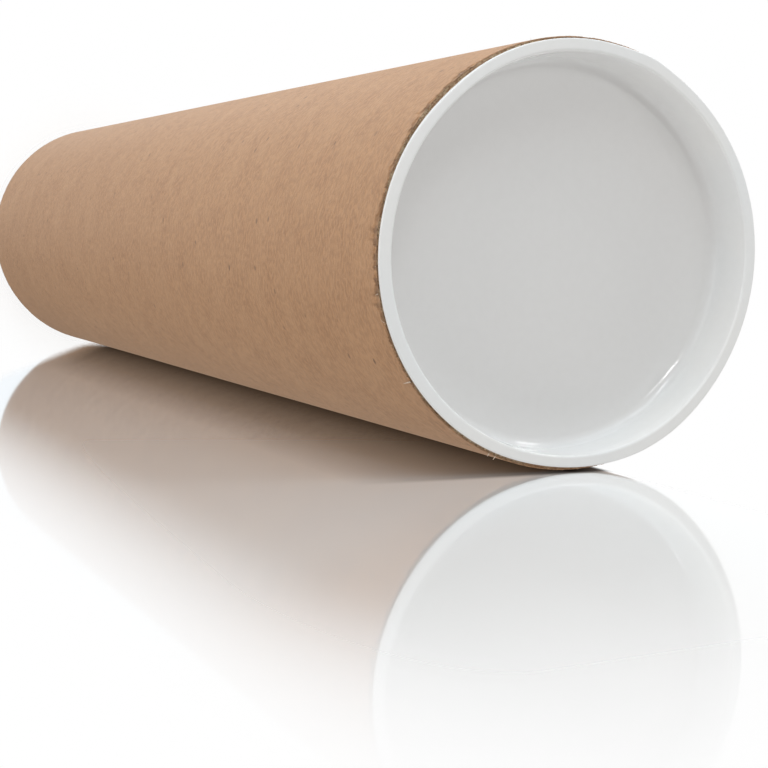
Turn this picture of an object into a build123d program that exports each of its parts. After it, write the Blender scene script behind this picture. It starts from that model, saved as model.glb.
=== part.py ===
from build123d import *
import os
from math import radians, tan

# Cardboard mailing tube, stood on its end: a wound tube closed at each end by a push-in moulded cap.
# Millimetres, +Z up along the tube, origin at the middle of the lower cap's ring face.

os.makedirs("parts", exist_ok=True)

# Tube: paper plies wound and glued into one wall, cut square at both ends
tube_outside_diameter = 102.0
tube_wall = 2.0
tube_length = 457.0

# Cap flange: the flat ring that stops against the cut end of the tube
flange_thickness = 1.5
flange_inset = 0.7  # from the tube's outside in to the ring's edge
flange_edge_break = 0.4  # softening of the ring's outer edge on its face
mouth_break = 0.6  # softening where the ring turns down into the recess

# Cap plug: the tapered cup that goes into the bore
plug_clearance = 0.1  # radial gap to the bore at the plug's root, where it is widest
plug_draft = 2.5  # degrees, to leave the mould and to lead into the bore
plug_wall = 1.6
plug_lead_in = 2.0  # bevel round the plug's closed end
recess_depth = 12.5  # from the ring's face down to the cup's floor
recess_corner_radius = 2.5  # inside the cup, between its wall and its floor
floor_thickness = 1.5

# Radii and heights that follow from the sizes above
tube_radius = tube_outside_diameter / 2
bore_radius = tube_radius - tube_wall
tube_base = flange_thickness
tube_top = tube_base + tube_length
overall_height = tube_top + flange_thickness
flange_radius = tube_radius - flange_inset
plug_root_radius = bore_radius - plug_clearance
recess_floor = overall_height - recess_depth
plug_end = recess_floor - floor_thickness


def plug_radius(height):
    """Outside radius of the tapered plug at a height."""
    return plug_root_radius - (tube_top - height) * tan(radians(plug_draft))


def recess_radius(height):
    """Inside radius of the cup at a height, one wall in from the plug's outside."""
    return plug_radius(height) - plug_wall


# Tube: a ring drawn on the cut lower end and carried up its length
with BuildPart() as tube:
    with BuildSketch(Plane.XY.offset(tube_base)):
        Circle(tube_radius)
        Circle(bore_radius, mode=Mode.SUBTRACT)
    extrude(amount=tube_length)
tube.part.label = "tube"

# Corners of half the cap's section, as radius and height
recess_corner = (recess_radius(recess_floor), recess_floor)
mouth = (recess_radius(overall_height), overall_height)
flange_top = (flange_radius, overall_height)
flange_seat = (flange_radius, tube_top)
plug_root = (plug_root_radius, tube_top)
plug_corner = (plug_radius(plug_end), plug_end)
edge_breaks = {
    mouth: mouth_break,
    flange_top: flange_edge_break,
    plug_corner: plug_lead_in,
}

# Top cap: one moulding, turned from half its section
with BuildPart() as top_cap:
    with BuildSketch(Plane.XZ) as section:
        with BuildLine():
            Polyline(
                (0, recess_floor),
                recess_corner,
                mouth,
                flange_top,
                flange_seat,
                plug_root,
                plug_corner,
                (0, plug_end),
                close=True,
            )
        make_face()
        fillet(section.vertices().sort_by_distance(recess_corner)[0], radius=recess_corner_radius)
        for corner, length in edge_breaks.items():
            chamfer(section.vertices().sort_by_distance(corner)[0], length=length)
    revolve(axis=Axis.Z)
top_cap.part.label = "top_cap"

# Bottom cap: the same moulding, turned over into the other end
with BuildPart() as bottom_cap:
    mirror(top_cap.part, about=Plane.XY.offset(overall_height / 2))
bottom_cap.part.label = "bottom_cap"

for piece in (tube, top_cap, bottom_cap):
    export_step(piece.part, f"parts/{piece.part.label}.step")
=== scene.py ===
"""Looks of a cardboard mailing tube with two moulded end caps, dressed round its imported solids."""

import logging
from dataclasses import dataclass, field
from enum import Enum

import bpy
import numpy as np
from mathutils import Matrix, Vector


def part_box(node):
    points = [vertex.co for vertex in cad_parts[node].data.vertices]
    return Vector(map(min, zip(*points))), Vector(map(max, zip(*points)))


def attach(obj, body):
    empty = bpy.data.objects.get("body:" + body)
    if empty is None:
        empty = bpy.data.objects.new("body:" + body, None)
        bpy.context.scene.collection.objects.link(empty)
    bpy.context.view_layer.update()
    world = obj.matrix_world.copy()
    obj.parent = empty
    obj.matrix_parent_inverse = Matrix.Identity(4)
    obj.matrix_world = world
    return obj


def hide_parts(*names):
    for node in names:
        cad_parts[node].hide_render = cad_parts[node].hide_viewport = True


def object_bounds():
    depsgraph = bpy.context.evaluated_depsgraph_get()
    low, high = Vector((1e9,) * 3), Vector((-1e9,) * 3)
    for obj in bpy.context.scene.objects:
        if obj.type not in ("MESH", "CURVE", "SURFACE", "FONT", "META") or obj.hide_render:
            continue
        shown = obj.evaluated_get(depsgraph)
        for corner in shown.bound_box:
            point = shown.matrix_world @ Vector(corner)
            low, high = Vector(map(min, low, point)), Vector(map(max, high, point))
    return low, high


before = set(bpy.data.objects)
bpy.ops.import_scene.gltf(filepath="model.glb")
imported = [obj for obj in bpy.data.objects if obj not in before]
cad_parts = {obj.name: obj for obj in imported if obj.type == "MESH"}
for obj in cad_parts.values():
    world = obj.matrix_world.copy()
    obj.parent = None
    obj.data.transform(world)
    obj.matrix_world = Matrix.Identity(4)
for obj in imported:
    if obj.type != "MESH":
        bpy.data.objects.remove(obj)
cad_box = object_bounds()

LOG = logging.getLogger("mailing_tube")
MM = 0.001
WHITE = (1.0, 1.0, 1.0)
Colour = tuple[float, float, float]
Triple = tuple[float, float, float]
Pair = tuple[float, float]
Piece = bpy.types.Object
Node = bpy.types.Node
Socket = bpy.types.NodeSocket


class End(Enum):
    """An end of the tube, by the direction in which its cap faces."""

    TOP = 1
    BOTTOM = -1


class TubeFace(Enum):
    """Faces of the tube, by the material slot that each one uses."""

    BOARD = 0
    BORE = 1


@dataclass(frozen=True)
class Waves:
    """A kind of irregular curve round the axis, by its range of waves per turn and its number of cosines."""

    lowest: int
    highest: int
    count: int

    def curve(self, angle: np.ndarray, seed: int) -> np.ndarray:
        """Works out one such curve, which joins up after one turn.

        The curve is a sum of cosines of whole orders of the angle with seeded orders and phases, divided so
        that its spread is one.

        Args:
            angle: angles round the axis, in radians.
            seed: seed of the orders and phases.

        Returns:
            One value per angle, about zero.
        """
        random = np.random.default_rng(seed)
        orders = random.integers(self.lowest, self.highest, self.count)[:, None]
        phases = random.uniform(0.0, 2.0 * np.pi, self.count)[:, None]
        return np.cos(orders * angle[None, :] + phases).sum(axis=0) / np.sqrt(self.count / 2.0)


def whole_turn(count: int) -> np.ndarray:
    """Gives angles spaced evenly round the axis, in radians."""
    return np.linspace(0.0, 2.0 * np.pi, count, endpoint=False)


def bump_at(angle: np.ndarray, middle: float, width: float) -> np.ndarray:
    """Gives a bell curve of height one round the axis.

    The value is exp(-(d / w) squared), where d is the shortest turn from the middle.

    Args:
        angle: angles round the axis, in radians.
        middle: angle of the top of the bell, in degrees.
        width: half width of the bell, in degrees.

    Returns:
        One value per angle, from 0 to 1.
    """
    turn = np.angle(np.exp(1j * (angle - np.radians(middle))))
    return np.exp(-((turn / np.radians(width)) ** 2))


def run(start: Pair, stop: Pair, count: int) -> np.ndarray:
    """Gives points spaced evenly on a straight line of a profile.

    Args:
        start: first radius and height.
        stop: radius and height that the line leads to, which is left to the next stretch.
        count: number of points.

    Returns:
        An array of count rows of radius and height.
    """
    share = np.linspace(0.0, 1.0, count, endpoint=False)[:, None]
    return (1.0 - share) * np.array(start) + share * np.array(stop)


def arc(middle: Pair, radius: float, first: float, last: float, count: int) -> np.ndarray:
    """Gives points spaced evenly on a round corner of a profile.

    A point is the middle plus the radius times the cosine and sine of its angle.

    Args:
        middle: radius and height of the corner's centre.
        radius: radius of the corner.
        first: angle of the first point, in degrees.
        last: angle of the last point, in degrees.
        count: number of points.

    Returns:
        An array of count rows of radius and height.
    """
    angle = np.radians(np.linspace(first, last, count))
    return np.array(middle) + radius * np.stack([np.cos(angle), np.sin(angle)], axis=1)


def carried_round(angle: np.ndarray, radius: np.ndarray, height: np.ndarray) -> np.ndarray:
    """Turns radii and heights into points, x and y being the radius times the angle's cosine and sine.

    Args:
        angle: angles round the axis, in radians.
        radius: radii by angle and point of the profile.
        height: heights in the same order.

    Returns:
        An array by angle and point of x, y and z.
    """
    x = radius * np.cos(angle)[:, None]
    y = radius * np.sin(angle)[:, None]
    return np.stack([x, y, height], axis=2)


def mesh_object(name: str, points: np.ndarray, corners: np.ndarray, sizes: np.ndarray) -> Piece:
    """Puts points and faces into a new smooth-shaded mesh object at the origin.

    Args:
        name: name of the piece.
        points: rows of x, y and z in metres.
        corners: point numbers of all faces, one face after another.
        sizes: number of corners of each face.

    Returns:
        The object, linked to the scene.
    """
    mesh = bpy.data.meshes.new(name)
    mesh.vertices.add(len(points))
    mesh.vertices.foreach_set("co", points.astype(np.float32).ravel())
    mesh.loops.add(len(corners))
    mesh.loops.foreach_set("vertex_index", corners.astype(np.int32))
    mesh.polygons.add(len(sizes))
    starts = np.concatenate([[0], np.cumsum(sizes)[:-1]])
    mesh.polygons.foreach_set("loop_start", starts.astype(np.int32))
    mesh.polygons.foreach_set("use_smooth", np.ones(len(sizes), dtype=bool))
    mesh.update(calc_edges=True)
    mesh.validate()
    piece = bpy.data.objects.new(name, mesh)
    bpy.context.scene.collection.objects.link(piece)
    return piece


def ring_quads(rows: int, columns: int, closed: bool) -> np.ndarray:
    """Numbers the corners of a grid that closes round the axis.

    Face (i, j) joins points (i, j), (i + 1, j), (i + 1, j + 1) and (i, j + 1), where i goes round the axis.

    Args:
        rows: number of points round the axis.
        columns: number of points along the profile.
        closed: whether the last point of the profile joins the first.

    Returns:
        An array of faces by four point numbers, in order of i and then j.
    """
    last = columns if closed else columns - 1
    i, j = np.meshgrid(np.arange(rows), np.arange(last), indexing="ij")
    here = i * columns
    there = ((i + 1) % rows) * columns
    after_j = (j + 1) % columns
    quads = np.stack([here + j, there + j, there + after_j, here + after_j])
    return quads.reshape(4, -1).T


def set_values(piece: Piece, name: str, values: np.ndarray) -> None:
    """Stores one number per point of a piece as a named attribute."""
    layer = piece.data.attributes.new(name, "FLOAT", "POINT")
    layer.data.foreach_set("value", values.astype(np.float32).ravel())


def triangles(piece: Piece) -> int:
    """Counts the triangles of a piece.

    Args:
        piece: the piece.

    Returns:
        The sum of each face's corners less two.
    """
    sizes = np.zeros(len(piece.data.polygons), dtype=np.int32)
    piece.data.polygons.foreach_get("loop_total", sizes)
    return int((sizes - 2).sum())


def report(piece: Piece) -> None:
    """Logs a finished piece and its size in triangles."""
    LOG.info("%s: %d triangles", piece.name, triangles(piece))


def shaded(colour: Colour, share: float) -> Colour:
    """Gives a share of a colour."""
    return tuple(share * part for part in colour)


class Bench:
    """A node tree being wired: makes nodes, sets their values and links them."""

    def __init__(self, tree: bpy.types.NodeTree) -> None:
        """Takes a tree and empties it."""
        self.tree = tree
        tree.nodes.clear()

    def node(self, kind: str, inputs: dict | None = None, **settings: object) -> Node:
        """Adds one node.

        Args:
            kind: type of the node without its ShaderNode prefix.
            inputs: input name or number to a value, or to the output socket that feeds it.
            settings: options of the node itself.

        Returns:
            The new node.
        """
        made = self.tree.nodes.new("ShaderNode" + kind)
        for option, value in settings.items():
            setattr(made, option, value)
        for key, value in (inputs or {}).items():
            if isinstance(value, Socket):
                self.tree.links.new(value, made.inputs[key])
            else:
                made.inputs[key].default_value = value
        return made

    def math(self, operation: str, first: object, second: object = 0.0) -> Socket:
        """Adds a Math node and gives its output."""
        return self.node("Math", {0: first, 1: second}, operation=operation).outputs[0]

    def product(self, first: object, *others: object) -> Socket:
        """Multiplies numbers one after another.

        Args:
            first: socket or number.
            others: sockets or numbers to multiply it by.

        Returns:
            The output socket.
        """
        result = first
        for other in others:
            result = self.math("MULTIPLY", result, other)
        return result

    def stretch(self, value: object, low: float, high: float, start: float = 0.0, stop: float = 1.0,
                smooth: bool = False) -> Socket:
        """Maps a value from one range to another and holds it there.

        Args:
            value: socket with the value.
            low: value that becomes start.
            high: value that becomes stop.
            start: first end of the result.
            stop: other end of the result.
            smooth: whether the change eases in and out.

        Returns:
            The output socket.
        """
        kind = "SMOOTHSTEP" if smooth else "LINEAR"
        values = {"Value": value, "From Min": low, "From Max": high, "To Min": start, "To Max": stop}
        return self.node("MapRange", values, interpolation_type=kind).outputs["Result"]

    def rise(self, value: object, fade: Pair) -> Socket:
        """Eases from 0 to 1 between two values."""
        return self.stretch(value, *fade, smooth=True)

    def fall(self, value: object, fade: Pair) -> Socket:
        """Eases from 1 to 0 between two values."""
        return self.stretch(value, *fade, 1.0, 0.0, smooth=True)

    def blend(self, share: object, first: object, second: object) -> Socket:
        """Mixes two colours.

        Args:
            share: socket or number, how much of the second colour.
            first: socket or colour.
            second: socket or colour.

        Returns:
            The output socket with the colour.
        """
        mixer = self.node("Mix", data_type="RGBA", clamp_factor=True)
        # A Mix node has inputs of the same name for each kind of data, so those for colours go by number
        for place, value in ((0, share), (6, first), (7, second)):
            if isinstance(value, Socket):
                self.tree.links.new(value, mixer.inputs[place])
            elif place == 0:
                mixer.inputs[place].default_value = value
            else:
                mixer.inputs[place].default_value = (*value, 1.0)
        return mixer.outputs[2]

    def scaled(self, vector: object, scale: Triple) -> Socket:
        """Multiplies a vector by three numbers and gives the result."""
        return self.node("VectorMath", {0: vector, 1: scale}, operation="MULTIPLY").outputs[0]

    def noise(self, vector: object, detail: float, roughness: float = 0.5) -> Socket:
        """Adds a noise pattern at the vector's own scale and gives its value."""
        values = {"Vector": vector, "Scale": 1.0, "Detail": detail, "Roughness": roughness}
        return self.node("TexNoise", values).outputs[0]

    def mark(self, name: str) -> Socket:
        """Gives a number that is stored on the points of the piece."""
        return self.node("Attribute", attribute_name=name).outputs["Fac"]


def new_group(name: str, takes: dict[str, str], gives: list[str]) -> tuple[Bench, Node, Node]:
    """Starts a shader node group.

    Args:
        name: name of the group.
        takes: input name to socket kind, Vector or Float.
        gives: names of its outputs, each a number.

    Returns:
        The group's bench, its input node and its output node.
    """
    tree = bpy.data.node_groups.new(name, "ShaderNodeTree")
    for label, kind in takes.items():
        tree.interface.new_socket(label, in_out="INPUT", socket_type="NodeSocket" + kind)
    for label in gives:
        tree.interface.new_socket(label, in_out="OUTPUT", socket_type="NodeSocketFloat")
    bench = Bench(tree)
    source = tree.nodes.new("NodeGroupInput")
    sink = tree.nodes.new("NodeGroupOutput")
    return bench, source, sink


class SharedEffects:
    """Node groups that more than one finish uses, each built once."""

    def __init__(self) -> None:
        """Builds the groups."""
        self.paper = self.paper_group()
        self.drift = self.drift_group()

    @staticmethod
    def paper_group() -> bpy.types.NodeTree:
        """Builds the pattern of pulp on paper: grain round the tube, clouds, dark flecks and fibres.

        Grain and fibres are noise drawn out across the axis, pale fibres from its peaks and dark strands from
        its pits, and flecks are the nearest points of a cell pattern of which only a random few are kept.
        Coordinates are metres, and the scales of the patterns are per millimetre.

        Returns:
            The group.
        """
        takes = {"Coordinates": "Vector", "Fleck Share": "Float"}
        gives = ["Grain", "Cloud", "Fleck", "Fibre", "Strand", "Tooth"]
        bench, source, sink = new_group("paper_pulp", takes, gives)
        place = bench.scaled(source.outputs["Coordinates"], (1000.0, 1000.0, 1000.0))
        warp = bench.node("TexNoise", {"Vector": place, "Scale": 0.4, "Detail": 2.0}).outputs["Color"]
        warped = {0: warp, 1: (0.8, 0.8, 0.8), 2: place}
        bent = bench.node("VectorMath", warped, operation="MULTIPLY_ADD").outputs[0]
        fibre = bench.noise(bench.scaled(bent, (0.6, 0.6, 2.6)), 2.0)
        cell = bench.node("TexVoronoi", {"Vector": bench.scaled(bent, (0.22, 0.22, 0.30)), "Scale": 1.0})
        near = bench.fall(cell.outputs["Distance"], (0.12, 0.22))
        pick = bench.node("SeparateColor", {"Color": cell.outputs["Color"]})
        kept = bench.math("LESS_THAN", pick.outputs["Red"], source.outputs["Fleck Share"])
        depth = bench.stretch(pick.outputs["Green"], 0.0, 1.0, 0.3, 1.0)
        results = {
            "Grain": bench.noise(bench.scaled(bent, (0.62, 0.62, 1.08)), 2.0, 0.48),
            "Cloud": bench.noise(bench.scaled(place, (0.08, 0.08, 0.11)), 4.0, 0.6),
            "Fleck": bench.product(near, kept, depth),
            "Fibre": bench.rise(fibre, (0.60, 0.74)),
            "Strand": bench.rise(fibre, (0.26, 0.20)),
            "Tooth": bench.noise(bench.scaled(place, (1.5, 1.5, 2.2)), 3.0, 0.65),
        }
        for label, value in results.items():
            bench.tree.links.new(value, sink.inputs[label])
        return bench.tree

    @staticmethod
    def drift_group() -> bpy.types.NodeTree:
        """Builds a slow unevenness: soft noise at one scale, spread to fill 0 to 1.

        Returns:
            The group.
        """
        takes = {"Coordinates": "Vector", "Per Metre": "Float"}
        bench, source, sink = new_group("slow_drift", takes, ["Drift"])
        sized = {0: source.outputs["Coordinates"], "Scale": source.outputs["Per Metre"]}
        place = bench.node("VectorMath", sized, operation="SCALE").outputs[0]
        value = bench.rise(bench.noise(place, 2.0), (0.28, 0.72))
        bench.tree.links.new(value, sink.inputs["Drift"])
        return bench.tree

    def place_drift(self, bench: Bench, place: Socket, per_metre: float) -> Socket:
        """Puts the slow unevenness into a material and gives its value."""
        inputs = {"Coordinates": place, "Per Metre": per_metre}
        return bench.node("Group", inputs, node_tree=self.drift).outputs["Drift"]


def new_material(name: str) -> tuple[bpy.types.Material, Bench, Socket]:
    """Starts a material that reads Object coordinates.

    Args:
        name: name of the material.

    Returns:
        The material, its bench and the socket with the coordinates.
    """
    material = bpy.data.materials.new(name)
    material.use_nodes = True
    bench = Bench(material.node_tree)
    place = bench.node("TexCoord").outputs["Object"]
    return material, bench, place


def close_material(bench: Bench, shader: Socket) -> None:
    """Links a shader to a new material output."""
    bench.node("OutputMaterial", {"Surface": shader})


def close_veil(bench: Bench, shown: Socket, surface: Socket) -> None:
    """Links a shader that shows by a share on the upper side of its sheet, and is clear elsewhere.

    Args:
        bench: the material being wired.
        shown: how much of the shader shows, from 0 to 1.
        surface: the shader.
    """
    behind = bench.node("NewGeometry").outputs["Backfacing"]
    share = bench.product(shown, bench.math("SUBTRACT", 1.0, behind))
    clear = bench.node("BsdfTransparent").outputs[0]
    close_material(bench, bench.node("MixShader", {0: share, 1: clear, 2: surface}).outputs[0])


@dataclass(frozen=True)
class PaperFinish:
    """Matte paper: a pulp colour with grain, clouds, flecks and fibres, and a toothed surface.

    With a chip colour it also covers cut faces, which the piece marks with its chip and groove values.
    """

    name: str
    colour: Colour
    dark: Colour
    pale: Colour
    chip: Colour | None = None
    glue: Colour = (0.11, 0.05, 0.018)
    grain: float = 0.9
    cloud: float = 0.5
    drift: float = 0.1
    drifts_per_metre: float = 14.0
    fibre: float = 0.45
    strand: float = 0.8
    fleck: float = 0.9
    fleck_share: float = 0.10
    fleck_shade: float = 0.45
    speckle_shade: float = 0.8
    grain_relief: float = 1.4
    relief_height: float = 0.3 * MM
    relief_strength: float = 0.55
    roughness: Pair = (0.54, 0.68)

    def material(self, effects: SharedEffects) -> bpy.types.Material:
        """Builds the material.

        Args:
            effects: the shared node groups.

        Returns:
            The material.
        """
        material, bench, place = new_material(self.name)
        inputs = {"Coordinates": place, "Fleck Share": self.fleck_share}
        pulp = bench.node("Group", inputs, node_tree=effects.paper)
        drift = effects.place_drift(bench, place, self.drifts_per_metre)
        strand = bench.product(pulp.outputs["Strand"], self.strand)
        spots = bench.math("MAXIMUM", pulp.outputs["Fleck"], strand)
        layers = (
            (pulp.outputs["Grain"], (0.38, 0.62), self.grain, self.dark),
            (pulp.outputs["Cloud"], (0.3, 0.7), self.cloud, self.pale),
            (drift, (0.0, 1.0), self.drift, self.dark),
            (pulp.outputs["Fibre"], (0.0, 1.0), self.fibre, self.pale),
            (spots, (0.0, 1.0), self.fleck, shaded(self.dark, self.fleck_shade)),
        )
        colour = self.colour
        for pattern, limits, most, tint in layers:
            colour = bench.blend(bench.stretch(pattern, *limits, 0.0, most), colour, tint)
        if self.chip:
            colour = self.cut_plies(bench, pulp, colour)
        tooth = pulp.outputs["Tooth"]
        relief = bench.math("ADD", tooth, bench.product(pulp.outputs["Grain"], self.grain_relief))
        bump = bench.node("Bump", {
            "Height": relief,
            "Strength": self.relief_strength,
            "Distance": self.relief_height,
        })
        shader = bench.node("BsdfPrincipled", {
            "Base Color": colour,
            "Roughness": bench.stretch(tooth, 0.2, 0.8, *self.roughness),
            "Normal": bump.outputs["Normal"],
            "Specular IOR Level": 0.5,
            "Sheen Weight": 0.07,
            "Sheen Roughness": 0.5,
        })
        close_material(bench, shader.outputs["BSDF"])
        return material

    def cut_plies(self, bench: Bench, pulp: Node, colour: Socket) -> Socket:
        """Lays grey chip pulp where the paper is cut through, with dark glue lines between its plies.

        Args:
            bench: the material being wired.
            pulp: the placed pulp group.
            colour: the colour of the paper's face.

        Returns:
            The colour of face and cut together.
        """
        speckle = bench.stretch(pulp.outputs["Tooth"], 0.36, 0.56)
        board = bench.blend(bench.stretch(pulp.outputs["Cloud"], 0.36, 0.54), self.dark, self.chip)
        grey = bench.blend(speckle, shaded(self.dark, self.speckle_shade), board)
        colour = bench.blend(bench.mark("chip"), colour, grey)
        worn = bench.stretch(pulp.outputs["Tooth"], 0.3, 0.6, 1.0, 0.5)
        # the groove mark also lays this dark colour as torn patches and as painted shade along torn edges
        return bench.blend(bench.product(bench.mark("groove"), worn), colour, self.glue)


@dataclass(frozen=True)
class PlasticFinish:
    """Moulded white plastic: slow unevenness, flow ripple, faint rubs, a satin ring and painted shade on its
    floor.

    The piece marks its ring with its satin values and its floor with its values of painted recess shade.
    """

    name: str
    colour: Colour
    cool: Colour
    recess_shade: Colour
    speck: Colour = (0.52, 0.51, 0.49)
    specks: float = 0.03
    drifts_per_metre: float = 30.0
    ripples_per_metre: float = 420.0
    drift_relief: float = 3.0
    ripple_relief: float = 0.3
    relief_height: float = 0.4 * MM
    relief_strength: float = 0.05
    rubs_per_metre: Triple = (90.0, 130.0, 110.0)
    roughness: Pair = (0.035, 0.065)
    satin: float = 0.25
    refraction: float = 1.49

    def material(self, effects: SharedEffects) -> bpy.types.Material:
        """Builds the material.

        Args:
            effects: the shared node groups.

        Returns:
            The material.
        """
        material, bench, place = new_material(self.name)
        drift = effects.place_drift(bench, place, self.drifts_per_metre)
        fine = effects.place_drift(bench, place, self.ripples_per_metre)
        colour = bench.blend(drift, self.colour, self.cool)
        # painted shade: the recess floor and the foot of its corner are greyed, standing in for shade
        colour = bench.blend(bench.mark("recess_shade"), colour, self.recess_shade)
        colour = bench.blend(bench.product(fine, self.specks), colour, self.speck)
        rub = bench.noise(bench.scaled(place, self.rubs_per_metre), 4.0, 0.6)
        rough = bench.stretch(rub, 0.25, 0.75, *self.roughness)
        rough = bench.math("ADD", rough, bench.product(bench.mark("satin"), self.satin))
        ripple = bench.product(fine, self.ripple_relief)
        relief = bench.math("ADD", bench.product(drift, self.drift_relief), ripple)
        bump = bench.node("Bump", {
            "Height": relief,
            "Strength": self.relief_strength,
            "Distance": self.relief_height,
        })
        shader = bench.node("BsdfPrincipled", {
            "Base Color": colour,
            "Roughness": rough,
            "Normal": bump.outputs["Normal"],
            "IOR": self.refraction,
        })
        close_material(bench, shader.outputs["BSDF"])
        return material


@dataclass(frozen=True)
class CutEnd:
    """One worked-out cut end of the tube, by angle and point from the outside in, and its tear by angle."""

    radius: np.ndarray
    drop: np.ndarray
    groove: np.ndarray
    chip: np.ndarray
    tear: np.ndarray


@dataclass
class KraftTube:
    """The wound tube: a kraft outer ply over three chip plies, cut square and a little torn at both ends.

    A strip where the kraft ply came away has its angle and half width in degrees and its depth in
    millimetres. The rows next to a cut are distances from it in millimetres.
    """

    wall: float = 2.0 * MM
    skin: float = 0.38 * MM
    chip_plies: int = 3
    groove: float = 0.20 * MM
    rag: float = 0.12 * MM
    fray: float = 0.45 * MM
    step: float = 0.25 * MM
    clear: float = 0.02 * MM
    torn_edge: float = 0.15 * MM
    torn_shade_line: float = 0.25 * MM
    sag: float = 0.03 * MM
    sink: float = 0.02 * MM
    sink_rate: float = 23.0
    sink_start: float = 0.6
    upper_seed: int = 5
    upper_strips: tuple[Triple, ...] = (
        (-7.5, 3.5, 1.8),
        (7.0, 6.0, 1.3),
        (22.0, 5.0, 0.5),
        (39.0, 6.0, 1.4),
        (54.0, 9.0, 1.6),
    )
    lower_seed: int = 205
    lower_strips: tuple[Triple, ...] = ((120.0, 5.0, 0.8), (246.0, 8.0, 1.2))
    rows_at_cut: tuple[float, ...] = (
        0.0, 0.15, 0.3, 0.45, 0.6, 0.75, 0.9, 1.05, 1.2, 1.4, 1.7, 2.2, 5.0, 14.0,
    )
    plain_from: float = 40.0 * MM
    plain_rows: int = 6
    bore_from: float = 3.0 * MM
    bore_rows: int = 4
    segments: int = 1200
    ply_points: int = 5
    ply_waves: Waves = Waves(60, 560, 60)
    point_waves: Waves = Waves(200, 590, 50)
    slow_waves: Waves = Waves(3, 24, 14)
    nick_waves: Waves = Waves(6, 90, 24)
    fray_waves: Waves = Waves(60, 300, 60)
    strip_waves: Waves = Waves(12, 160, 30)
    patch_waves: Waves = Waves(10, 120, 30)
    sink_waves: Waves = Waves(2, 7, 6)
    radius: float = field(init=False)
    base: float = field(init=False)
    top: float = field(init=False)

    def __post_init__(self) -> None:
        """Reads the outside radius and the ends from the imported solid."""
        low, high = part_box("tube")
        self.radius = min(high[0], high[1], -low[0], -low[1])
        self.base = low[2]
        self.top = high[2]

    def missing(self, tear: np.ndarray, below: np.ndarray) -> np.ndarray:
        """Tells how much of the kraft ply is gone at distances below the cut.

        The share is (tear - distance) / width of the torn edge + 1/2, held between 0 and 1.

        Args:
            tear: depth of the tear at each angle.
            below: distances below the cut.

        Returns:
            Shares from 0 to 1, by angle and distance.
        """
        return np.clip((tear[:, None] - below[None, :]) / self.torn_edge + 0.5, 0.0, 1.0)

    def torn_shade(self, tear: np.ndarray, below: np.ndarray, seed: int) -> np.ndarray:
        """Gives the dark patches where the kraft ply is torn off, and a fainter painted shade line at the
        torn edge.

        A patch has the share of the ply that is gone, times a slow sum of cosines of the angle, and the line
        is exp(-((distance - tear) / width of the line) squared).

        Args:
            tear: depth of the tear at each angle.
            below: distances below the cut.
            seed: seed of the unevenness.

        Returns:
            Weights from 0 to 1, by angle and distance.
        """
        uneven = self.patch_waves.curve(whole_turn(self.segments), seed)
        patch = np.clip(0.65 + 0.3 * uneven, 0.1, 1.0)[:, None]
        # painted shade: a dark line along the torn edge, where the step in the ply also casts a real shadow
        line = np.exp(-(((below[None, :] - tear[:, None]) / self.torn_shade_line) ** 2))
        return np.maximum(self.missing(tear, below) * patch, line * (0.15 + 0.6 * patch))

    def torn_depth(self, seed: int, strips: tuple[Triple, ...]) -> np.ndarray:
        """Works out how far the kraft ply is torn back from a cut.

        The depth is a fray and deeper nicks, the parts of sums of cosines above a limit, and a bell curve of
        the angle for each strip of it that came away.

        Args:
            seed: seed of the raggedness.
            strips: the strips.

        Returns:
            Depths in metres, by angle.
        """
        angle = whole_turn(self.segments)
        nick = np.clip(self.nick_waves.curve(angle, seed + 90) - 1.0, 0.0, 1.6)
        fray = np.clip(0.1 + 0.12 * self.fray_waves.curve(angle, seed + 91), 0.0, None)
        strip = sum(depth * MM * bump_at(angle, middle, width) for middle, width, depth in strips)
        ragged = np.clip(0.9 + 0.25 * self.strip_waves.curve(angle, seed + 92), 0.0, 1.4)
        return self.fray * (nick + fray) + strip * ragged

    def cut_end(self, seed: int, strips: tuple[Triple, ...]) -> CutEnd:
        """Works out a cut end, from the outside in.

        Each ply has its own ragged height round the tube, a sum of cosines, with finer cosines for each
        point, and rounds off towards the glue lines on both of its sides with the fourth power of the
        distance from its middle. Where the kraft ply is torn back at the cut itself, its rim steps in and
        shows chip.

        Args:
            seed: seed of the raggedness.
            strips: the strips of the kraft ply that came away.

        Returns:
            The cut end.
        """
        angle = whole_turn(self.segments)
        chip = (self.wall - self.skin) / self.chip_plies
        thickness = np.array([self.skin] + [chip] * self.chip_plies)
        starts = np.cumsum(thickness) - thickness
        share = np.linspace(0.05, 0.95, self.ply_points)
        inward = (starts[:, None] + thickness[:, None] * share[None, :]).ravel()
        shoulder = np.tile(np.abs(2.0 * share - 1.0) ** 4, len(thickness))[None, :]
        plies = range(len(thickness))
        points = range(len(inward))
        rag = np.stack([self.ply_waves.curve(angle, seed + ply) for ply in plies], axis=1)
        slow = np.stack([self.slow_waves.curve(angle, seed + 40 + ply) for ply in plies], axis=1)
        fine = np.stack([self.point_waves.curve(angle, seed + 300 + point) for point in points], axis=1)
        ragged = np.repeat(np.clip(1.2 + 0.8 * rag + 0.6 * slow, 0.0, 4.0), self.ply_points, axis=1)
        edge = np.clip(0.5 + 0.5 * np.repeat(rag, self.ply_points, axis=1), 0.0, 1.5)
        uneven = self.rag * np.clip(ragged + 0.5 * fine, 0.0, None)
        drop = self.clear + uneven + self.groove * shoulder * edge
        tear = self.torn_depth(seed, strips)
        gone = self.missing(tear, np.zeros(1))
        sag = self.sag * np.clip(np.repeat(slow, self.ply_points, axis=1), 0.0, 2.0)
        radius = self.radius - inward[None, :] - sag
        groove = np.clip(shoulder * edge, 0.0, 1.0)
        grey = np.ones_like(drop)
        kraft = slice(0, self.ply_points)
        rim = self.radius - self.step * gone
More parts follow.
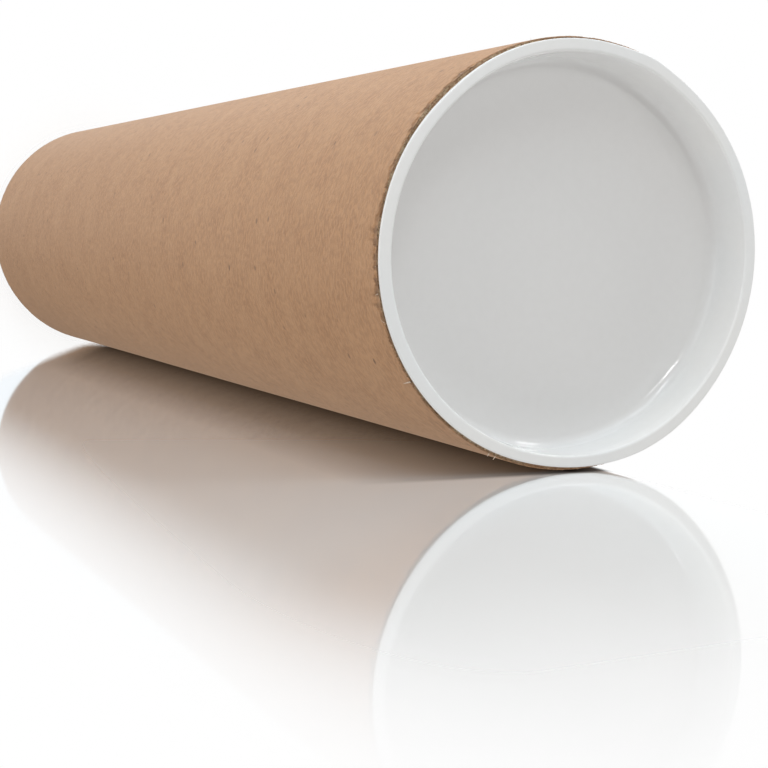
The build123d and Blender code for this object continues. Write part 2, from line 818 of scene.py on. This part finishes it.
        radius[:, kraft] = rim - share[None, :] * (rim - self.radius + self.skin)
        groove[:, kraft] = np.maximum(groove[:, kraft], 0.25)
        grey[:, kraft] = np.clip(2.0 * gone - 1.0, 0.0, 1.0)
        return CutEnd(radius, drop, groove, grey, tear)

    @staticmethod
    def up_outside(lower: np.ndarray, middle: np.ndarray, upper: np.ndarray) -> np.ndarray:
        """Joins the rows of the outside, those next to the upper cut being counted down from it."""
        return np.concatenate([lower, middle, upper[:, ::-1]], axis=1)

    @staticmethod
    def all_round(outside: np.ndarray, upper: np.ndarray, bore: np.ndarray, lower: np.ndarray) -> np.ndarray:
        """Joins the stretches of the profile, the lower cut end being counted from the outside in."""
        return np.concatenate([outside, upper, bore, lower[:, ::-1]], axis=1)

    def build(self) -> Piece:
        """Builds the tube as one closed profile carried round the axis.

        The profile goes up the outside, in over the upper cut end, down the bore and out under the lower cut
        end. The outside sinks by a few hundredths of a millimetre along a slow wave, and by a step where its
        kraft ply is torn off near a cut.

        Returns:
            The tube.
        """
        angle = whole_turn(self.segments)
        upper = self.cut_end(self.upper_seed, self.upper_strips)
        lower = self.cut_end(self.lower_seed, self.lower_strips)
        near = np.array(self.rows_at_cut) * MM
        middle = np.linspace(self.base + self.plain_from, self.top - self.plain_from, self.plain_rows)
        low_rows = self.base + lower.drop[:, :1] + near[None, :]
        high_rows = self.top - upper.drop[:, :1] - near[None, :]
        heights = self.up_outside(low_rows, np.tile(middle, (self.segments, 1)), high_rows)
        whole = np.zeros((self.segments, self.plain_rows))
        gone = self.up_outside(self.missing(lower.tear, near), whole, self.missing(upper.tear, near))
        wave = np.cos(heights * self.sink_rate + self.sink_start)
        slow = self.sink_waves.curve(angle, seed=11)[:, None] * wave
        sunk = self.sink * np.clip(slow + 1.6, 0.0, None) * (1.0 - gone)
        outside = self.radius - sunk - self.step * gone
        bore = np.full((self.segments, self.bore_rows), self.radius - self.wall)
        bore_line = np.linspace(self.top - self.bore_from, self.base + self.bore_from, self.bore_rows)
        bore_heights = np.tile(bore_line, (self.segments, 1))
        radius = self.all_round(outside, upper.radius, bore, lower.radius)
        height = self.all_round(heights, self.top - upper.drop, bore_heights, self.base + lower.drop)
        columns = radius.shape[1]
        points = carried_round(angle, radius, height).reshape(-1, 3)
        quads = ring_quads(self.segments, columns, closed=True)
        piece = mesh_object("kraft_tube", points, quads.ravel(), np.full(len(quads), 4))
        plain = np.zeros_like(bore)
        low_shade = self.torn_shade(lower.tear, near, seed=61)
        high_shade = self.torn_shade(upper.tear, near, seed=60)
        shade = self.up_outside(low_shade, whole, high_shade)
        # the groove values also carry the painted shade line along each torn edge
        set_values(piece, "groove", self.all_round(shade, upper.groove, plain, lower.groove))
        grey = 0.1 * np.clip(2.0 * gone - 1.0, 0.0, 1.0)
        set_values(piece, "chip", self.all_round(grey, upper.chip, plain, lower.chip))
        faces = np.full(columns, TubeFace.BOARD.value)
        first = outside.shape[1] + upper.radius.shape[1]
        faces[first - 1:first + self.bore_rows] = TubeFace.BORE.value
        piece.data.polygons.foreach_set("material_index", np.tile(faces, self.segments).astype(np.int32))
        return piece

    def dress(self, piece: Piece, effects: SharedEffects) -> None:
        """Gives the tube its papers and its place in the frame.

        Args:
            piece: the tube.
            effects: the shared node groups.
        """
        face = PaperFinish(
            "kraft_face",
            colour=(0.525, 0.283, 0.138),
            dark=(0.383, 0.198, 0.0915),
            pale=(0.588, 0.338, 0.176),
            chip=(0.60, 0.47, 0.31),
        )
        inside = PaperFinish(
            "bore_board",
            colour=(0.42, 0.315, 0.225),
            dark=(0.30, 0.215, 0.145),
            pale=(0.52, 0.42, 0.32),
        )
        for finish in (face, inside):
            piece.data.materials.append(finish.material(effects))
        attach(piece, "tube")
        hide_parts("tube")


@dataclass
class TornFibres:
    """Paper fibres that stand out of a cut end of the tube.

    Each known strand has its angle in degrees, its length and half width in millimetres and the shares of its
    direction out, round and along the tube. The others are random.
    """

    end: End
    seed: int
    count: int = 60
    path_points: int = 7
    sides: int = 3
    root_inset: float = 0.1 * MM
    root_depth: float = 0.12 * MM
    known: tuple[tuple[float, ...], ...] = ()

    def build(self, tube: KraftTube) -> Piece:
        """Builds all fibres of one end as three-sided tapering strands.

        A strand's middle line is root + length * (t * direction + t squared * curl), and its half width falls
        from its root to its tip with the square root of 1.02 - t.

        Args:
            tube: the tube that carries them.

        Returns:
            The strands as one piece.
        """
        random = np.random.default_rng(self.seed)
        known = np.array(self.known).reshape(-1, 6)
        angle = np.concatenate([np.radians(known[:, 0]), random.uniform(0.0, 2.0 * np.pi, self.count)])
        length = np.concatenate([known[:, 1], random.uniform(0.3, 1.0, self.count) ** 2]) * MM
        width = np.concatenate([known[:, 2], random.uniform(0.02, 0.05, self.count)]) * MM
        total = len(angle)
        out = np.stack([np.cos(angle), np.sin(angle), np.zeros(total)], axis=1)
        round_about = np.stack([-np.sin(angle), np.cos(angle), np.zeros(total)], axis=1)
        along = np.array([0.0, 0.0, float(self.end.value)])[None, :]
        lean = random.normal(0.0, 0.5, (3, total, 1))
        shares = np.concatenate([0.55 + 0.3 * np.abs(lean[0]), lean[1], 0.25 * lean[2] - 0.45], axis=1)
        shares[:len(known)] = known[:, 3:]
        direction = shares[:, :1] * out + shares[:, 1:2] * round_about + shares[:, 2:] * along
        bend = random.normal(0.0, 0.35, (total, 1))
        bend[:len(known)] *= 0.4
        curl = bend * (round_about - 0.6 * along)
        edge = np.array([0.0, 0.0, tube.top if self.end is End.TOP else tube.base])
        root = out * (tube.radius - self.root_inset) + edge - along * self.root_depth
        share = np.linspace(0.0, 1.0, self.path_points)[None, :, None]
        way = share * direction[:, None] + share ** 2 * curl[:, None]
        line = root[:, None] + length[:, None, None] * way
        taper = (width[:, None, None] * np.sqrt(1.02 - share))[:, :, None, :]
        turn = whole_turn(self.sides)[None, None, :, None]
        across = np.cross(direction, out + 0.3 * along)
        across = across / np.linalg.norm(across, axis=1, keepdims=True)
        upright = np.cross(across, direction)
        upright = upright / np.linalg.norm(upright, axis=1, keepdims=True)
        around = np.cos(turn) * across[:, None, None, :] + 0.5 * np.sin(turn) * upright[:, None, None, :]
        points = line[:, :, None, :] + taper * around
        points[..., :2] = np.clip(points[..., :2], -tube.radius, tube.radius)
        corners, sizes = self.faces(total)
        return mesh_object(f"torn_fibres_{self.end.name.lower()}", points.reshape(-1, 3), corners, sizes)

    def faces(self, total: int) -> tuple[np.ndarray, np.ndarray]:
        """Numbers the faces of strands whose points follow one another by strand, step and side.

        Args:
            total: number of strands.

        Returns:
            The point numbers of all faces, four-sided ones and then the two ends of each strand, and the
            number of corners of each face.
        """
        strand, step, side = np.indices((total, self.path_points - 1, self.sides))
        here = (strand * self.path_points + step) * self.sides
        there = here + self.sides
        after = (side + 1) % self.sides
        quads = np.stack([here + side, here + after, there + after, there + side], axis=-1)
        first = (np.arange(total) * self.path_points * self.sides)[:, None]
        last = first + (self.path_points - 1) * self.sides
        around = np.arange(self.sides)
        ends = np.concatenate([first + around[::-1], last + around], axis=1)
        sizes = np.concatenate([np.full(strand.size, 4), np.full(2 * total, self.sides)])
        return np.concatenate([quads.ravel(), ends.ravel()]), sizes

    def dress(self, piece: Piece, effects: SharedEffects) -> None:
        """Gives the fibres their paper and their place in the frame.

        Args:
            piece: the fibres.
            effects: the shared node groups.
        """
        finish = PaperFinish(
            f"torn_paper_{self.end.name.lower()}",
            colour=(0.76, 0.62, 0.48),
            dark=(0.60, 0.45, 0.32),
            pale=(0.84, 0.75, 0.64),
            grain=0.5,
        )
        piece.data.materials.append(finish.material(effects))
        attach(piece, "tube")


@dataclass
class EndCap:
    """One moulded cap: a flat ring, a cup that plugs the bore and a recessed floor.

    Each departure of the ring's outline from a circle has its angle and half width in degrees and its size
    in millimetres. Together with a faint wander they go no farther out than the largest stray.
    """

    end: End
    node: str
    flange_radius: float = 50.3 * MM
    flange_thickness: float = 1.5 * MM
    edge_round: float = 0.35 * MM
    seat_bevel: float = 0.7 * MM
    mouth_round: float = 0.65 * MM
    plug_radius: float = 48.9 * MM
    plug_wall: float = 1.6 * MM
    plug_draft: float = 2.5
    plug_lead_in: float = 2.0 * MM
    recess_depth: float = 12.5 * MM
    recess_round: float = 2.5 * MM
    floor_thickness: float = 1.5 * MM
    floor_dish: float = 0.12 * MM
    dish_radius: float = 44.3 * MM
    departures: tuple[Triple, ...] = (
        (-2.0, 14.0, -0.55),
        (60.0, 34.0, 0.6),
        (125.0, 14.0, -0.3),
        (163.0, 17.0, 0.6),
        (-68.0, 6.0, 0.4),
    )
    wander: float = 0.04
    wander_waves: Waves = Waves(2, 6, 5)
    largest_stray: float = 0.6
    stray_reach: float = 3.0 * MM
    stray_inward: float = 2.5 * MM
    mouth_hold: float = 0.6
    hair: float = 0.01 * MM
    segments: int = 720

    def profile(self) -> np.ndarray:
        """Works out half the cap's section, with its face at height 0 and its plug below.

        The stretches run counter-clockwise: under the floor, up the plug, out along the seat, over the ring,
        down the recess and in along the floor, with bevels below and round corners above.

        Returns:
            Rows of radius and height, from the axis to the axis.
        """
        lean = np.radians(self.plug_draft)
        seat = -self.flange_thickness
        floor = -self.recess_depth
        under = floor - self.floor_thickness
        outer_under = self.plug_radius + (under - seat) * np.tan(lean)
        inner_face = self.plug_radius - seat * np.tan(lean) - self.plug_wall
        inner_floor = inner_face + floor * np.tan(lean)
        lead = self.plug_lead_in
        lead_top = (outer_under + lead * np.tan(lean), under + lead)
        corner = (inner_floor - self.recess_round / np.tan(np.pi / 4 + lean / 2), floor + self.recess_round)
        mouth = (inner_face + self.mouth_round, -self.mouth_round)
        edge = self.flange_radius - self.edge_round
        seat_edge = (self.flange_radius - self.seat_bevel, seat)
        bevel_top = (self.flange_radius, seat + self.seat_bevel)
        wall_top = (mouth[0] - self.mouth_round * np.cos(lean), mouth[1] + self.mouth_round * np.sin(lean))
        stretches = [
            run((0.0, under), (outer_under - lead, under), 8),
            run((outer_under - lead, under), lead_top, 5),
            run(lead_top, (self.plug_radius, seat), 8),
            run((self.plug_radius, seat), seat_edge, 4),
            run(seat_edge, bevel_top, 4),
            run(bevel_top, (self.flange_radius, -self.edge_round), 3),
            arc((edge, -self.edge_round), self.edge_round, 0.0, 90.0, 8),
            run((edge, 0.0), (mouth[0], 0.0), 8)[1:],
            arc(mouth, self.mouth_round, 90.0, 180.0 - self.plug_draft, 9),
            run(wall_top, (corner[0] + self.recess_round, corner[1]), 8)[1:],
            arc(corner, self.recess_round, 0.0, -90.0, 12),
            run((corner[0], floor), (0.0, floor), 16)[1:],
            np.array([[0.0, floor]]),
        ]
        return np.concatenate(stretches)

    def build(self) -> Piece:
        """Builds the cap as its section carried round the axis, closed by fans of triangles on the axis.

        The ring's outline departs from a circle by bell curves of the angle, whole at its edge and by four
        tenths at the mouth, and less with depth. The floor is dished by a share of 1 - (radius / dish radius)
        squared. Points are marked as satin by how much the departures reach them, and with painted shade on
        the floor, less so up the recess corner with the square of the depth.

        Returns:
            The cap.
        """
        angle = whole_turn(self.segments)
        section = self.profile()
        radius = np.tile(section[:, 0], (self.segments, 1))
        height = np.tile(section[:, 1], (self.segments, 1))
        stray = self.wander * self.wander_waves.curve(angle, seed=31)
        for middle, width, size in self.departures:
            stray = stray + size * bump_at(angle, middle, width)
        stray = np.minimum(stray, self.largest_stray) * MM
        depth_share = np.clip((height + self.stray_reach) / self.stray_reach, 0.0, 1.0)
        ring = depth_share * (radius > self.plug_radius - self.stray_inward)
        inner = np.clip((self.flange_radius - radius) / self.stray_reach, 0.0, 1.0)
        below_seat = height < -self.flange_thickness + self.hair
        outside_plug = below_seat & (radius < self.plug_radius + self.hair)
        radius = radius + stray[:, None] * ring * (1.0 - self.mouth_hold * inner) * ~outside_plug
        on_floor = (np.abs(height + self.recess_depth) < self.hair) & (radius < self.dish_radius)
        height = height - on_floor * self.floor_dish * (1.0 - (radius / self.dish_radius) ** 2)
        # painted recess shade: whole on the floor, falling off up the recess corner with the square of the
        # depth
        recess_shade = np.clip((self.recess_round - self.recess_depth - height) / self.recess_round, 0.0, 1.0) ** 2
        if self.end is End.TOP:
            height = height + cad_box[1][2]
        else:
            radius, height = radius[:, ::-1], cad_box[0][2] - height[:, ::-1]
            recess_shade, ring = recess_shade[:, ::-1], ring[:, ::-1]
        points = carried_round(angle, radius, height)
        inside = points[:, 1:-1].reshape(-1, 3)
        columns = points.shape[1] - 2
        poles = np.stack([points[0, 0], points[0, -1]])
        quads = ring_quads(self.segments, columns, closed=False)
        here = np.arange(self.segments) * columns
        there = np.roll(here, -1)
        pole = np.full(self.segments, len(inside))
        start_fan = np.stack([pole, there, here], axis=1)
        stop_fan = np.stack([here + columns - 1, there + columns - 1, pole + 1], axis=1)
        corners = np.concatenate([quads.ravel(), start_fan.ravel(), stop_fan.ravel()])
        sizes = np.concatenate([np.full(len(quads), 4), np.full(2 * self.segments, 3)])
        piece = mesh_object(f"{self.node}_moulding", np.concatenate([inside, poles]), corners, sizes)
        set_values(piece, "recess_shade", np.concatenate([recess_shade[:, 1:-1].ravel(), np.ones(2)]))
        set_values(piece, "satin", np.concatenate([ring[:, 1:-1].ravel(), np.zeros(2)]))
        return piece

    def dress(self, piece: Piece, plastic: bpy.types.Material) -> None:
        """Gives the cap its plastic and its place in the frame.

        Args:
            piece: the cap.
            plastic: its material.
        """
        piece.data.materials.append(plastic)
        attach(piece, self.node)
        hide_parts(self.node)


def stage_sheet(name: str, low: Pair, high: Pair, place: Matrix) -> Piece:
    """Lays a flat rectangle as a stage piece that only the eye sees.

    Args:
        name: name of the sheet.
        low: lowest x and y of the sheet in its own plane.
        high: highest x and y.
        place: where the plane lies.

    Returns:
        The sheet.
    """
    x, y = np.meshgrid(np.array([low[0], high[0]]), np.array([low[1], high[1]]), indexing="ij")
    points = np.stack([x.ravel(), y.ravel(), np.zeros(4)], axis=1)
    made = mesh_object(name, points, np.array([0, 2, 3, 1]), np.array([4]))
    made.matrix_world = place
    made.visible_diffuse = False
    made.visible_glossy = False
    made.visible_shadow = False
    return made


@dataclass(frozen=True)
class LyingFloor:
    """The glossy pale sheet that the tube lies on in the photograph.

    It shows the tube's shadow and reflection beside it, fades to the white surroundings with distance along
    and across the tube, and can be seen only at a low angle from its upper side. Fades are in metres across
    the tube from the line under its axis, or along it from its far end, apart from that of the low view,
    which is by the sheet's turn from the eye. The sheet is cool beside the tube and a little grey before its
    cap.
    """

    low: Pair = (-0.30, 0.0)
    high: Pair = (0.30, 0.90)
    side_fade: Pair = (0.094, 0.146)
    far_side_fade: Pair = (-0.009, -0.007)
    front_fade: Pair = (0.55, 0.69)
    foot_fade: Pair = (0.0, 0.05)
    foot_slope: float = 2.3
    slope_fade: Pair = (-0.02, 0.005)
    low_view_fade: Pair = (0.34, 0.46)
    gloss_power: float = 2.1
    roughness: float = 0.045
    shadow: Colour = (0.02, 0.016, 0.013)
    shadow_width: float = 0.058
    shadow_end: Pair = (0.461, 0.466)
    shadow_foot: Pair = (-0.01, 0.03)
    beside_tone: Colour = (0.955, 1.0, 1.035)
    front_tone: Colour = (0.955, 0.945, 0.94)
    front_tone_fade: Pair = (0.0, 0.06)
    front_start: Pair = (0.43, 0.475)

    def build(self, over: Vector) -> Piece:
        """Lays the sheet against the lowest line of the lying tube.

        Args:
            over: the direction that is up where the tube lies.

        Returns:
            The sheet, with its material.
        """
        along = Vector((0.0, 0.0, 1.0))
        turn = Matrix((along.cross(over), along, over)).transposed().to_4x4()
        place = Matrix.Translation(over * cad_box[0][0]) @ turn
        made = stage_sheet("lying_floor", self.low, self.high, place)
        made.data.materials.append(self.material())
        return made

    def material(self) -> bpy.types.Material:
        """Builds the material from masks over the distances across and along the tube.

        Returns:
            The material.
        """
        material, bench, spot = new_material("glossy_pale_sheet")
        axes = bench.node("SeparateXYZ", {"Vector": spot})
        across = axes.outputs["X"]
        along = axes.outputs["Y"]
        off_line = bench.math("ABSOLUTE", across)
        outline = bench.math("SUBTRACT", along, bench.product(off_line, self.foot_slope))
        lowness = bench.node("LayerWeight", {"Blend": 0.5}).outputs["Facing"]
        shown = bench.product(
            bench.fall(across, self.side_fade),
            bench.rise(across, self.far_side_fade),
            bench.fall(along, self.front_fade),
            bench.rise(along, self.foot_fade),
            bench.rise(outline, self.slope_fade),
            bench.rise(lowness, self.low_view_fade),
        )
        contact = bench.product(
            bench.fall(along, self.shadow_end),
            bench.rise(outline, self.shadow_foot),
            bench.stretch(off_line, 0.0, self.shadow_width, 1.0, 0.0),
        )
        before_tube = bench.math("SUBTRACT", along, across)
        tone = bench.blend(bench.stretch(across, *self.front_tone_fade), WHITE, self.front_tone)
        tone = bench.blend(bench.rise(before_tube, self.front_start), self.beside_tone, tone)
        pale = bench.blend(contact, tone, self.shadow)
        matte = bench.node("BsdfDiffuse", {"Color": pale}).outputs[0]
        mirror = bench.node("BsdfGlossy", {"Color": pale, "Roughness": self.roughness}).outputs[0]
        gloss = bench.math("POWER", lowness, self.gloss_power)
        surface = bench.node("MixShader", {0: gloss, 1: matte, 2: mirror})
        close_veil(bench, shown, surface.outputs[0])
        return material


@dataclass(frozen=True)
class StandingFloor:
    """A faint veil under the standing tube that takes its contact shadow and fades with the radius."""

    reach: float = 0.08
    fade: Pair = (0.045, 0.075)
    strength: float = 0.3
    lift: float = 0.2

    def build(self) -> Piece:
        """Lays the veil in the plane that the tube stands on.

        Returns:
            The veil, with its material.
        """
        low, high = (-self.reach, -self.reach), (self.reach, self.reach)
        made = stage_sheet("standing_floor", low, high, Matrix.Identity(4))
        material, bench, spot = new_material("pale_veil")
        away = bench.node("VectorMath", {0: spot}, operation="LENGTH").outputs["Value"]
        shown = bench.stretch(away, *self.fade, self.strength, 0.0, smooth=True)
        matte = bench.node("BsdfDiffuse", {"Color": (*WHITE, 1.0)})
        lift = bench.node("Emission", {"Color": (*WHITE, 1.0), "Strength": self.lift})
        pale = bench.node("AddShader", {0: matte.outputs[0], 1: lift.outputs[0]})
        close_veil(bench, shown, pale.outputs[0])
        made.data.materials.append(material)
        return made


@dataclass
class Studio:
    """Camera, lamps, white surroundings and the two pale floors."""

    ambient: float = 0.46
    daylight: Colour = (1.0, 0.985, 0.96)
    table: Colour = (0.30, 0.28, 0.26)
    table_fade: Pair = (-0.15, 0.05)
    lens: float = 78.124
    eye: Vector = field(default_factory=lambda: Vector((0.144469, 0.135472, 0.801671)))
    right: Vector = field(default_factory=lambda: Vector((-0.63977, -0.65737, 0.39819)))
    up: Vector = field(default_factory=lambda: Vector((0.68537, -0.72243, -0.09148)))
    over: Vector = field(default_factory=lambda: Vector((0.70711, -0.70711, 0.0)))
    beside: Vector = field(default_factory=lambda: Vector((-0.70711, -0.70711, 0.0)))
    aim: Vector = field(default_factory=lambda: Vector((0.0, 0.0, 0.36)))

    def camera(self) -> None:
        """Stands the camera where the photograph was taken from."""
        view = bpy.data.cameras.new("photo_camera")
        view.lens = self.lens
        view.sensor_width = 36.0
        view.clip_start = 0.01
        view.clip_end = 50.0
        stand = bpy.data.objects.new("photo_camera", view)
        back = self.right.cross(self.up)
        turn = Matrix((self.right, self.up, back)).transposed()
        stand.matrix_world = Matrix.Translation(self.eye) @ turn.to_4x4()
        bpy.context.scene.collection.objects.link(stand)
        bpy.context.scene.camera = stand

    def lamp(self, name: str, towards: Triple, level: float, size: Pair, tint: Colour = WHITE,
             distance: float = 1.2) -> None:
        """Hangs one soft lamp that faces the tube.

        The power is level * (pi * distance) squared, which lights a surface square to the lamp at that level.

        Args:
            name: name of the lamp.
            towards: its direction from the tube, as shares over, beside and along it.
            level: brightness that a white surface facing it takes.
            size: width and height of the lamp in metres.
            tint: colour of its light.
            distance: distance from the tube in metres.
        """
        light = bpy.data.lights.new(name, "AREA")
        light.shape = "RECTANGLE"
        light.size, light.size_y = size
        light.color = tint
        light.energy = level * (np.pi * distance) ** 2
        hung = bpy.data.objects.new(name, light)
        along = Vector((0.0, 0.0, towards[2]))
        way = (self.over * towards[0] + self.beside * towards[1] + along).normalized()
        turn = way.to_track_quat("Z", "Y").to_matrix().to_4x4()
        hung.matrix_world = Matrix.Translation(self.aim + way * distance) @ turn
        bpy.context.scene.collection.objects.link(hung)

    def surroundings(self) -> None:
        """Makes the world white to the eye, plain soft light, and white over a grey table in reflections."""
        world = bpy.data.worlds.new("white_room")
        world.use_nodes = True
        bpy.context.scene.world = world
        bench = Bench(world.node_tree)
        path = bench.node("LightPath").outputs
        seen = bench.math("MAXIMUM", path["Is Camera Ray"], path["Is Glossy Ray"])
        seen = bench.math("MAXIMUM", seen, path["Is Transmission Ray"])
        way = bench.node("TexCoord").outputs["Generated"]
        rise = bench.node("VectorMath", {0: way, 1: self.over}, operation="DOT_PRODUCT").outputs["Value"]
        table = bench.product(path["Is Glossy Ray"], bench.stretch(rise, *self.table_fade, 1.0, 0.0))
        room = bench.blend(table, WHITE, self.table)
        soft = bench.node("Background", {"Color": (*self.daylight, 1.0), "Strength": self.ambient})
        white = bench.node("Background", {"Color": room, "Strength": 1.0})
        mixed = bench.node("MixShader", {0: seen, 1: soft.outputs[0], 2: white.outputs[0]})
        bench.node("OutputWorld", {"Surface": mixed.outputs[0]})

    def lamps(self) -> None:
        """Hangs the lamps: soft ones all round, and three narrow ones whose glints show in the recess."""
        self.lamp("overhead", (0.95, -0.05, 0.27), level=0.35, size=(1.0, 1.0), tint=(0.87, 1.0, 1.08))
        self.lamp("back_rim", (0.55, -0.05, -0.83), level=0.075, size=(1.3, 1.3), distance=3.0)
        self.lamp("right_strip", (0.752, 0.601, 0.27), level=0.16, size=(0.16, 0.40), distance=1.173)
        self.lamp("front_strip", (0.225, 0.145, 0.971), level=0.065, size=(0.60, 0.032), distance=1.277)
        self.lamp("left_spot", (0.706, -0.253, 0.661), level=0.05, size=(0.07, 0.30), distance=1.223)
        self.lamp("beside_camera", (0.35, -0.92, 0.12), level=0.30, size=(0.9, 0.9), tint=(1.0, 0.98, 0.96))
        self.lamp("table_bounce", (-0.82, -0.32, 0.46), level=0.16, size=(0.9, 0.9))
        self.lamp("behind", (-0.55, 0.80, 0.25), level=0.14, size=(0.9, 0.9))

    def set_up(self) -> None:
        """Sets the view transform and puts everything in place."""
        bpy.context.scene.view_settings.view_transform = "Standard"
        self.camera()
        self.surroundings()
        self.lamps()
        for floor in (LyingFloor().build(self.over), StandingFloor().build()):
            report(floor)


def main() -> None:
    """Builds the tube, its fibres, both caps and the studio, in that order."""
    logging.basicConfig(level=logging.INFO, format="%(message)s")
    effects = SharedEffects()
    tube = KraftTube()
    wall = tube.build()
    tube.dress(wall, effects)
    report(wall)
    photographed = (
        (55.0, 1.6, 0.10, 0.1, 0.1, -1.0),
        (62.5, 1.8, 0.09, 0.1, -0.1, -1.0),
        (79.6, 3.2, 0.24, 0.2, 0.10, -1.0),
        (110.0, 0.8, 0.20, 1.0, -0.1, -0.2),
        (112.0, 1.0, 0.20, 1.0, -0.1, -0.1),
    )
    for end, seed, known in ((End.TOP, 4, photographed), (End.BOTTOM, 2, ())):
        fibres = TornFibres(end, seed, known=known)
        strands = fibres.build(tube)
        fibres.dress(strands, effects)
        report(strands)
    white = PlasticFinish(
        "white_moulding",
        colour=(0.905, 0.905, 0.895),
        cool=(0.885, 0.90, 0.905),
        # the third colour is painted shade for the recess floor
        recess_shade=(0.815, 0.81, 0.805),
    )
    plastic = white.material(effects)
    for end, node in ((End.TOP, "top_cap"), (End.BOTTOM, "bottom_cap")):
        cap = EndCap(end, node)
        moulding = cap.build()
        cap.dress(moulding, plastic)
        report(moulding)
    Studio().set_up()


if __name__ == "__main__":
    main()
